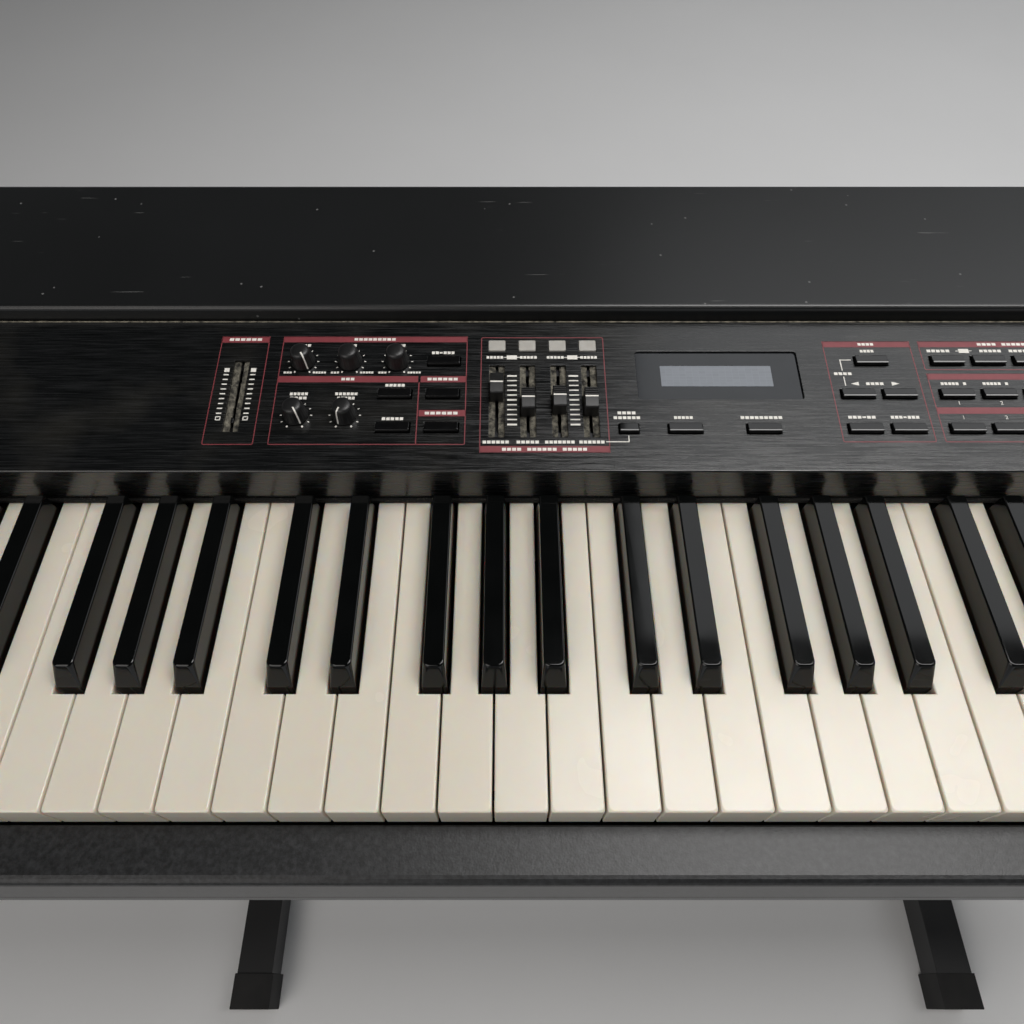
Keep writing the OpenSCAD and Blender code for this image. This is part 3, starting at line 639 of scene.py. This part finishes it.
# Level scales between the faders: every fifth bar is heavier
for x in FADER_SCALE_X:
    for k in range(11):
        thick = 0.5 if k % 5 == 0 else 0.36
        s = FADER_SCALE_S + k * ROW_STEP
        bar(bm, x - 2.5, s - thick, x + 2.5, s + thick)
# Ticks round each knob, the first and last of them dots
for x, s in KNOBS.values():
    for k in range(11):
        a = math.radians(-60 + 30 * k)
        out = Vector((math.cos(a), math.sin(a)))
        side = Vector((-out.y, out.x)) * (0.42 if k in (0, 10) else 0.26)
        near, far = Vector((x, s)) + out * 7.3, Vector((x, s)) + out * 8.3
        flat_shape(bm, [tuple(p) for p in (near - side, far - side, far + side, near + side)])
# Section headings in the red bands and legends over the controls
for legend_row in (
        (-252.1, 81.0, "xxxxxx", 18.0), (-182.6, 81.1, "xxxxxxxxx", 22.7), (-194.9, 55.2, "xxx", 7.3),
        (-145.3, 55.2, "xxxxxx", 16.4), (-145.3, 34.1, "xxxxxx", 17.4),
        (-92.9, 12.7, "xxxx xxxxxx xxxxx", 43.0),
        (80.5, 77.8, "xxxx", 8.9), (154.6, 77.8, "xxxx xxxxxx", 29.0),
        (-219.7, 77.0, "xxx", 6.6), (-194.9, 77.0, "xxx", 6.0), (-170.0, 77.0, "xxxx", 8.4),
        (-145.6, 72.2, "xx-xxx", 12.4), (-219.5, 45.9, "xxxxx", 9.7), (-219.5, 43.3, "xxxx", 9.0),
        (-194.9, 45.9, "xxxxxx", 12.0), (-194.9, 43.3, "xxxxx", 9.4), (-170.0, 51.3, "xxxxx", 10.5),
        (-170.0, 30.7, "xxxxx", 11.4),
        (-118.1, 69.2, "xxxxx", 9.2), (-100.3, 69.2, "xxxxx", 9.4), (-86.0, 69.2, "xxxxx", 9.4),
        (-68.3, 69.2, "xxxxx", 9.2),
        (-117.3, 16.9, "xxxxxx", 13.7), (-101.2, 16.9, "xxxxx", 11.7), (-85.1, 16.9, "xxxxxxx", 15.3),
        (-69.0, 16.9, "xxxxxx", 13.1), (-50.5, 34.2, "xxxx", 9.7), (-50.5, 31.3, "xxxxxx", 14.0),
        (-21.7, 31.4, "xxxxx", 10.0), (18.1, 31.4, "xxxxxxxxx", 21.7),
        (80.3, 73.3, "xxxx", 7.7), (64.8, 58.6, "xxxx", 9.7), (80.3, 52.3, "xxxx", 9.6),
        (69.4, 31.6, "xxx-xx", 14.4), (91.4, 31.6, "xxx-xxx", 15.0),
        (118.4, 73.4, "xxxxx", 12.6), (146.2, 73.4, "xxxxx", 12.0), (162.2, 73.4, "xxxxx", 12.6),
        (190.0, 73.4, "xxxxx", 12.0)):
    legend(bm, *legend_row)
for x, _ in list(KNOBS.values())[:3]:
    legend(bm, x - 7.5, 59.4, "xxx", 4.6, 1.2)
    legend(bm, x + 9.2, 59.4, "xxxxx", 7.2, 1.2)
for x, letters in zip(BANK_X, ("xxxxx x", "xxxxx x", "xx-xxxx", "xxxxxx", "xxxxx", "xxxxxx", "xxxx", "xxxxx x")):
    legend(bm, x, 52.3, letters, 13.6)
# Pills that join two legends, with the line through them
for x, s in ((-109.1, 69.2), (-77.0, 69.2), (132.0, 73.4), (175.9, 73.4)):
    bar(bm, x - 2.7, s - 1.3, x + 2.7, s + 1.3)
    bar(bm, x - 4.4, s - 0.2, x - 2.7, s + 0.2)
    bar(bm, x + 2.7, s - 0.2, x + 4.4, s + 0.2)
# Lines that tie a legend to the button it belongs to
for x0, s0, x1, s1 in ((-61.9, 16.8, -50.2, 17.3), (-50.6, 17.3, -50.1, 20.6),
                       (64.6, 67.2, 70.6, 67.7), (64.6, 60.6, 65.1, 67.2), (64.6, 51.0, 65.1, 56.8)):
    bar(bm, x0, s0, x1, s1)
# Page arrows
flat_shape(bm, [(67.8, 52.3), (71.9, 51.1), (71.9, 53.5)])
flat_shape(bm, [(93.2, 52.3), (89.1, 53.5), (89.1, 51.1)])
make_piece("printed_legends", bm, white_ink, "piano")

# Digits 1 to 8 number the two rows of the tone bank
for row, s in (("upper", 40.2), ("lower", 31.4)):
    for k, x in enumerate(BANK_X):
        figure = bpy.data.curves.new(f"digit_{row}_{k + 1}", "FONT")
        figure.body = str(k + 1)
        figure.size = 3.1 * MM
        figure.extrude = WHITE_INK / 2 * MM
        figure.align_x = "CENTER"
        figure.align_y = "CENTER"
        figure.materials.append(white_ink)
        digit = bpy.data.objects.new(figure.name, figure)
        bpy.context.scene.collection.objects.link(digit)
        digit.location = on_panel(x, s, WHITE_INK / 2)
        digit.rotation_euler = (math.atan2(panel_up.z, panel_up.y), 0, 0)
        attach(digit, "piano")

# ---------------------------------------------------------------- display
# A smoked acrylic window, let in just below the panel, over a grey-blue reflective liquid crystal.
# The acrylic is very smooth; the crystal is a little duller, with a faint grid of cells.

WINDOW_TOP, WINDOW_BOTTOM = -1.2, -3.2
VIEW_X, VIEW_S, VIEW_WIDTH, VIEW_DEPTH = -1.5, 58.0, 58.6, 13.0

smoked, tree, shader, place = start_material("smoked acrylic", 0.07)
smear = add_node(tree, "ShaderNodeTexNoise", {"Vector": place, "Scale": 1 / (20 * MM), "Detail": 5.0})
tint = colour_mix(tree, smear.outputs["Fac"], "#17191c", "#26292d")
gloss = add_node(tree, "ShaderNodeMapRange", {"Value": smear.outputs["Fac"], "To Min": 0.04, "To Max": 0.16})
tree.links.new(tint, shader.inputs["Base Color"])
tree.links.new(gloss.outputs["Result"], shader.inputs["Roughness"])

bm = bmesh.new()
loft(bm, softened(centred(LCD_X, LCD_S, LCD_WIDTH - 0.2, LCD_DEPTH - 0.2, 1.5, 5),
                  WINDOW_BOTTOM, WINDOW_TOP, 0.3, on_panel))
make_piece("display_window", bm, smoked, "piano", ["lcd_window"])

crystal, tree, shader, place = start_material("liquid crystal display", 0.16)
cells = add_node(tree, "ShaderNodeTexBrick", {"Vector": place, "Scale": 1 / (7.0 * MM), "Mortar Size": 0.012,
                                              "Color1": srgb("#7b8087"), "Color2": srgb("#777c83"),
                                              "Mortar": srgb("#81868d")}, offset=0.0)
tree.links.new(cells.outputs["Color"], shader.inputs["Base Color"])
bm = bmesh.new()
loft(bm, softened(centred(VIEW_X, VIEW_S, VIEW_WIDTH, VIEW_DEPTH, 0.3), WINDOW_TOP, WINDOW_TOP + 0.06,
                  0.03, on_panel, 1))
make_piece("display_crystal", bm, crystal, "piano")
dress("lcd_module", board)

# ---------------------------------------------------------------- slides
# Each slide control sits under its slot behind a strip of felt that has turned grey with dust.
# A moulded cap rides on its lever; the volume slide has lost its cap, so only its stub is left.

FELT_TOP, FELT_BOTTOM = -1.5, -2.9
SLIT_HALF = 1.05
CAP_WIDTH, CAP_HEIGHT = 6.9, 7.8

lint, tree, shader, place = start_material("dusty slot felt", 0.95)
fluff = add_node(tree, "ShaderNodeTexNoise", {"Vector": place, "Scale": 1 / (3.2 * MM), "Detail": 7.0,
                                              "Roughness": 0.72})
clumps = add_node(tree, "ShaderNodeMapRange", {"Value": fluff.outputs["Fac"], "From Min": 0.4, "From Max": 0.72})
tone = colour_mix(tree, clumps.outputs["Result"], "#191815", "#8b8678")
bump = add_node(tree, "ShaderNodeBump", {"Height": fluff.outputs["Fac"], "Strength": 0.8, "Distance": 0.5 * MM})
tree.links.new(tone, shader.inputs["Base Color"])
tree.links.new(bump.outputs["Normal"], shader.inputs["Normal"])
dress("fader_bodies", blacked)

# Two strips of felt meet under each slot, and leave a frayed slit for the lever
fray = random.Random(30)
bm = bmesh.new()
for x, middle in [(x, FADER_MIDDLE) for x in FADER_X] + [(VOLUME_X, VOLUME_MIDDLE)]:
    for side in (-1, 1):
        rows = 40
        low_s = middle - SLOT_LENGTH / 2
        rings = []
        for k in range(rows + 1):
            s = low_s + SLOT_LENGTH * k / rows
            edge = x + side * (SLIT_HALF - fray.uniform(0, 0.35))
            wall = x + side * (SLOT_WIDTH / 2 + 0.8)
            nap = fray.uniform(-0.12, 0.12)
            rings.append([on_panel(wall, s, FELT_BOTTOM), on_panel(wall, s, FELT_TOP + nap),
                          on_panel((wall + edge) / 2, s, FELT_TOP + fray.uniform(-0.15, 0.15)),
                          on_panel(edge, s, FELT_TOP - 0.35 + nap), on_panel(edge, s, FELT_BOTTOM)])
        loft(bm, rings)
make_piece("slot_felts", bm, lint, "piano")

# A cap's side view as (s, h): smooth sloping front half, index line, then four ridges
cap_side = [(-6.35, -1.2), (6.35, -1.2), (6.35, 6.4), (5.9, 6.9)]
for k in range(4):
    ridge = 5.5 - 1.25 * k
    cap_side += [(ridge, CAP_HEIGHT - 0.2), (ridge - 0.55, CAP_HEIGHT - 0.2), (ridge - 0.75, CAP_HEIGHT - 0.75),
                 (ridge - 1.1, CAP_HEIGHT - 0.75)]
cap_side += [(0.5, CAP_HEIGHT), (-0.5, CAP_HEIGHT), (-5.4, CAP_HEIGHT - 0.5), (-6.0, CAP_HEIGHT - 0.9),
             (-6.35, CAP_HEIGHT - 1.5)]

for i, x in enumerate(FADER_X, start=1):
    name = f"fader_{i}"
    low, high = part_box(name)
    middle = ((low + high) / 2 - panel_corner).dot(panel_up) / MM
    bm = bmesh.new()
    half = CAP_WIDTH / 2
    steps = ((-half, 0.3), (0.3 - half, 0.0), (half - 0.3, 0.0), (half, 0.3))
    loft(bm, [[on_panel(x + dx, middle + s, h) for s, h in inset(cap_side, pull * 0.8)] for dx, pull in steps])
    lever = rounded(x - 0.7, middle - 1.5, x + 0.7, middle + 1.5, [0.2] * 4, 2)
    loft(bm, [[on_panel(px, ps, h) for px, ps in lever] for h in (-8.4, -1.0)])
    make_piece(f"cap_{i}", bm, black_plastic, name, [name])
    bm = bmesh.new()
    index = rounded(x - half + 0.15, middle - 0.42, x + half - 0.15, middle + 0.42, [0.1] * 4, 1)
    loft(bm, [[on_panel(px, ps, h) for px, ps in index] for h in (CAP_HEIGHT - 0.1, CAP_HEIGHT + 0.05)])
    make_piece(f"cap_line_{i}", bm, white_ink, name)
dress("volume_lever", blacked, edge=0.2, steps=2)

# ---------------------------------------------------------------- rotary knobs
# Moulded knobs with shallow flutes, a rounded crown and a raised white line.
# Low and rate are turned right up, depth right down, mid and high stand in the middle.

KNOB_BASE, KNOB_TOP, KNOB_HEIGHT = 6.3, 5.2, 10.5
POINTER = {"low": -60, "rate": -60, "depth": -115, "mid": 90, "high": 90}
WORN_TOPS = ("mid", "high")

for name, (x, s) in KNOBS.items():
    bm = bmesh.new()
    count = 96

    def knob_ring(radius, h, flute=0.0):
        ring = []
        for k in range(count):
            a = 2 * math.pi * k / count
            r = radius - flute * (0.5 + 0.5 * math.cos(24 * a)) ** 2
            ring.append(on_panel(x + r * math.cos(a), s + r * math.sin(a), h))
        return ring

    taper = [(0.4, KNOB_BASE - 0.3, 0), (0.7, KNOB_BASE, 0), (1.6, KNOB_BASE - 0.1, 0),
             (2.0, KNOB_BASE - 0.4, 0.1), (5.5, KNOB_BASE - 0.7, 0.16), (8.4, KNOB_TOP - 0.05, 0.14),
             (9.3, KNOB_TOP - 0.35, 0.05), (9.9, KNOB_TOP - 0.9, 0), (10.25, KNOB_TOP - 1.7, 0),
             (10.42, KNOB_TOP - 2.8, 0),
             (KNOB_HEIGHT, 1.2, 0), (KNOB_HEIGHT, 0.2, 0)]
    loft(bm, [knob_ring(radius, h, flute) for h, radius, flute in taper])
    spindle = [(0.5, 2.0), (-8.0, 2.0)]
    loft(bm, [knob_ring(radius, h) for h, radius in spindle])
    make_piece(f"turned_{name}", bm, black_plastic, f"knob_{name}", [f"knob_{name}"])
    a = math.radians(POINTER[name])
    out, across = Vector((math.cos(a), math.sin(a))), Vector((-math.sin(a), math.cos(a))) * 0.38
    # The line runs up the side and over the top, just proud of the plastic; two have worn off on top
    path = [(KNOB_BASE + 0.02, 0.9), (KNOB_BASE - 0.58, 5.5), (KNOB_TOP + 0.05, 8.4)]
    if name not in WORN_TOPS:
        path += [(KNOB_TOP - 0.25, 9.45), (KNOB_TOP - 0.85, 10.05), (KNOB_TOP - 1.7, 10.38),
                 (KNOB_TOP - 3.0, 10.58)]
    bm = bmesh.new()
    rings = []
    for r, h in path:
        deep = 0.3
        rings.append([on_panel(*(Vector((x, s)) + out * (r - sink) + across * turn), h - sink)
                      for turn, sink in ((-1, 0), (1, 0), (1, deep), (-1, deep))])
    loft(bm, rings)
    make_piece(f"pointer_{name}", bm, white_ink, f"knob_{name}")

# ---------------------------------------------------------------- push buttons
# Glossy black caps with a raised front edge that catches the light; each sits on its own switch.
# The four part switches are milky lenses with a lamp behind.

button_gloss, tree, shader, place = start_material("polished black ABS", 0.16)
touch = add_node(tree, "ShaderNodeTexNoise", {"Vector": place, "Scale": 1 / (5 * MM), "Detail": 5.0})
gloss = add_node(tree, "ShaderNodeMapRange", {"Value": touch.outputs["Fac"], "To Min": 0.05, "To Max": 0.18})
tone = colour_mix(tree, touch.outputs["Fac"], "#070707", "#111112")
tree.links.new(gloss.outputs["Result"], shader.inputs["Roughness"])
tree.links.new(tone, shader.inputs["Base Color"])

BUTTON_RISE = 2.4
# A button's side view as (s, h): upright front, rounded raised edge, top falling slightly to the back
half = BUTTON_DEPTH / 2
button_side = [(-half, -3.2), (half, -3.2), (half, BUTTON_RISE - 1.2), (half - 0.15, BUTTON_RISE - 0.85),
               (half - 0.5, BUTTON_RISE - 0.7), (-half + 1.5, BUTTON_RISE - 0.3),
               (-half + 1.15, BUTTON_RISE - 0.05), (-half + 0.95, BUTTON_RISE), (-half + 0.25, BUTTON_RISE - 0.18),
               (-half + 0.08, BUTTON_RISE - 0.32), (-half, BUTTON_RISE - 0.6)]

for group, places in BUTTONS.items():
    bm = bmesh.new()
    for at in places:
        x, middle = at
        reach = button_length(at) / 2
        steps = ((-reach, 0.25), (0.25 - reach, 0.0), (reach - 0.25, 0.0), (reach, 0.25))
        loft(bm, [[on_panel(x + dx, middle + s, h) for s, h in inset(button_side, pull * 0.7)]
                  for dx, pull in steps])
        flange = centred(x, middle, 2 * reach + 2, BUTTON_DEPTH + 2, 0.5)
        loft(bm, [[on_panel(px, ps, h) for px, ps in flange] for h in (-3.9, -2.7)])
    make_piece(f"caps_{group}", bm, button_gloss, group, [group])

lens, tree, shader, place = start_material("milky lens", 0.3)
shader.inputs["Subsurface Weight"].default_value = 0.25
shader.inputs["Subsurface Radius"].default_value = (0.002, 0.0018, 0.0015)
cloudy = add_node(tree, "ShaderNodeTexNoise", {"Vector": place, "Scale": 1 / (4 * MM), "Detail": 3.0})
tone = colour_mix(tree, cloudy.outputs["Fac"], "#bab8b2", "#a19e97")
tree.links.new(tone, shader.inputs["Base Color"])
bm = bmesh.new()
for x in FADER_X:
    loft(bm, softened(centred(x, SWITCH_S, SWITCH_WIDTH, SWITCH_DEPTH, 0.7), -3.2, 0.8, 0.4, on_panel, 4))
    flange = centred(x, SWITCH_S, SWITCH_WIDTH + 1.6, SWITCH_DEPTH + 1.6, 0.7)
    loft(bm, [[on_panel(px, ps, h) for px, ps in flange] for h in (-3.9, -2.9)])
make_piece("lenses", bm, lens, "part_switches", ["part_switches"])

# ---------------------------------------------------------------- felts
# Strips of pressed wool felt under the panel's lip and on the key stop rail, grey with dust.

pressed_felt, tree, shader, place = start_material("pressed black felt", 0.97)
fibre = add_node(tree, "ShaderNodeTexNoise", {"Vector": place, "Scale": 1 / (1.1 * MM), "Detail": 6.0,
                                              "Roughness": 0.75})
bits = add_node(tree, "ShaderNodeMapRange", {"Value": fibre.outputs["Fac"], "From Min": 0.56, "From Max": 0.74})
tone = colour_mix(tree, bits.outputs["Result"], "#0e0e0d", "#6f6a5e")
bump = add_node(tree, "ShaderNodeBump", {"Height": fibre.outputs["Fac"], "Strength": 0.8, "Distance": 0.4 * MM})
tree.links.new(tone, shader.inputs["Base Color"])
tree.links.new(bump.outputs["Normal"], shader.inputs["Normal"])
dress("key_felts", pressed_felt)

# ---------------------------------------------------------------- rear cover
# Folded sheet steel over the electronics, painted satin charcoal with a very fine texture.
# Years of use have left specks and fine scratches; the front edge is not given a polish of its own.

charcoal, tree, shader, place = start_material("satin charcoal paint", 0.34)
texture = add_node(tree, "ShaderNodeTexNoise", {"Vector": place, "Scale": 1 / (0.9 * MM), "Detail": 3.0})
cloud = add_node(tree, "ShaderNodeTexNoise", {"Vector": place, "Scale": 1 / (120 * MM), "Detail": 7.0})
speck = add_node(tree, "ShaderNodeTexVoronoi", {"Vector": place, "Scale": 1 / (16 * MM)})
dot = add_node(tree, "ShaderNodeMapRange", {"Value": speck.outputs["Distance"], "From Min": 0.05, "From Max": 0.03,
                                            "To Max": 0.5})
slant = add_node(tree, "ShaderNodeMapping", {"Vector": place, "Rotation": (0, 0, 0.6),
                                               "Scale": (0.06, 1.0, 1.0)})
scratch = add_node(tree, "ShaderNodeTexNoise", {"Vector": slant.outputs["Vector"], "Scale": 1 / (2.5 * MM),
                                                "Detail": 2.0})
hairline = add_node(tree, "ShaderNodeMapRange", {"Value": scratch.outputs["Fac"], "From Min": 0.745,
                                                 "From Max": 0.77, "To Max": 0.35})
wear = add_node(tree, "ShaderNodeMath", {0: dot.outputs["Result"], 1: hairline.outputs["Result"]},
                operation="MAXIMUM")
tone = colour_mix(tree, cloud.outputs["Fac"], "#0e0f0f", "#1a1b1c")
worn = colour_mix(tree, wear.outputs["Value"], tone, "#8d8d8c")
bump = add_node(tree, "ShaderNodeBump", {"Height": texture.outputs["Fac"], "Strength": 0.2,
                                         "Distance": 0.08 * MM})
tree.links.new(worn, shader.inputs["Base Color"])
tree.links.new(bump.outputs["Normal"], shader.inputs["Normal"])
dress("rear_cover", charcoal, edge=1.1, steps=4)

# ---------------------------------------------------------------- sockets, switch and bender
# Phone and round data sockets, a mains inlet with bare brass blades behind, a rocker switch.
# The bender's paddle stands in a well in the left key block.

for node_name, edge in (("phone_jacks", 0.4), ("midi_sockets", 0.3), ("ac_inlet", 0.4),
                        ("power_switch", 0.8), ("bender_lever", 1.2)):
    dress(node_name, black_plastic, edge=edge)

# ---------------------------------------------------------------- floor and light
# A plain pale floor under soft light: a ceiling lamp, a bright patch behind it and a dim warm fill.

floor_paint, tree, shader, place = start_material("pale floor", 0.6)
mottle = add_node(tree, "ShaderNodeTexNoise", {"Vector": place, "Scale": 3.0, "Detail": 3.0})
tone = colour_mix(tree, mottle.outputs["Fac"], "#f6f6f6", "#f0f0f0")
tree.links.new(tone, shader.inputs["Base Color"])
FLOOR_HALF = 8.0
floor_mesh = bpy.data.meshes.new("floor")
floor_mesh.from_pydata([(x, y, 0) for x, y in ((-FLOOR_HALF, -FLOOR_HALF), (FLOOR_HALF, -FLOOR_HALF),
                                               (FLOOR_HALF, FLOOR_HALF), (-FLOOR_HALF, FLOOR_HALF))],
                       [], [(0, 1, 2, 3)])
floor_mesh.materials.append(floor_paint)
floor = bpy.data.objects.new("floor", floor_mesh)
bpy.context.scene.collection.objects.link(floor)


def soft_light(name, place, target, width, depth, power, colour):
    lamp = bpy.data.lights.new(name, "AREA")
    lamp.shape = "RECTANGLE"
    lamp.size, lamp.size_y = width, depth
    lamp.energy = power
    lamp.color = colour
    holder = bpy.data.objects.new(name, lamp)
    bpy.context.scene.collection.objects.link(holder)
    holder.location = place
    holder.rotation_euler = (Vector(target) - Vector(place)).to_track_quat("-Z", "Y").to_euler()


CEILING = 2.6
soft_light("ceiling lamp", (0.75, 0.12, CEILING), (0.75, 0.12, 0), 1.5, 0.8, 33, (1.0, 0.985, 0.97))
soft_light("bright wall", (1.95, 1.55, CEILING), (1.95, 1.55, 0), 3.3, 1.7, 23, (0.97, 0.985, 1.0))
soft_light("fill", (-1.2, -1.5, 2.3), (0, 0, 0.7), 1.6, 1.6, 20, (1.0, 0.96, 0.92))

# The room is pale near the horizon and dim overhead
world = bpy.data.worlds.new("room")
bpy.context.scene.world = world
world.use_nodes = True
sky = world.node_tree.nodes["Background"]
toward = add_node(world.node_tree, "ShaderNodeTexCoord")
height = add_node(world.node_tree, "ShaderNodeSeparateXYZ", {0: toward.outputs["Generated"]})
above = add_node(world.node_tree, "ShaderNodeMapRange", {"Value": height.outputs["Z"], "From Min": 0.05,
                                                         "From Max": 0.3})
room = colour_mix(world.node_tree, above.outputs["Result"], "#d4d6d8", "#242526")
world.node_tree.links.new(room, sky.inputs["Color"])
sky.inputs["Strength"].default_value = 1.0
bpy.context.scene.view_settings.view_transform = "Standard"
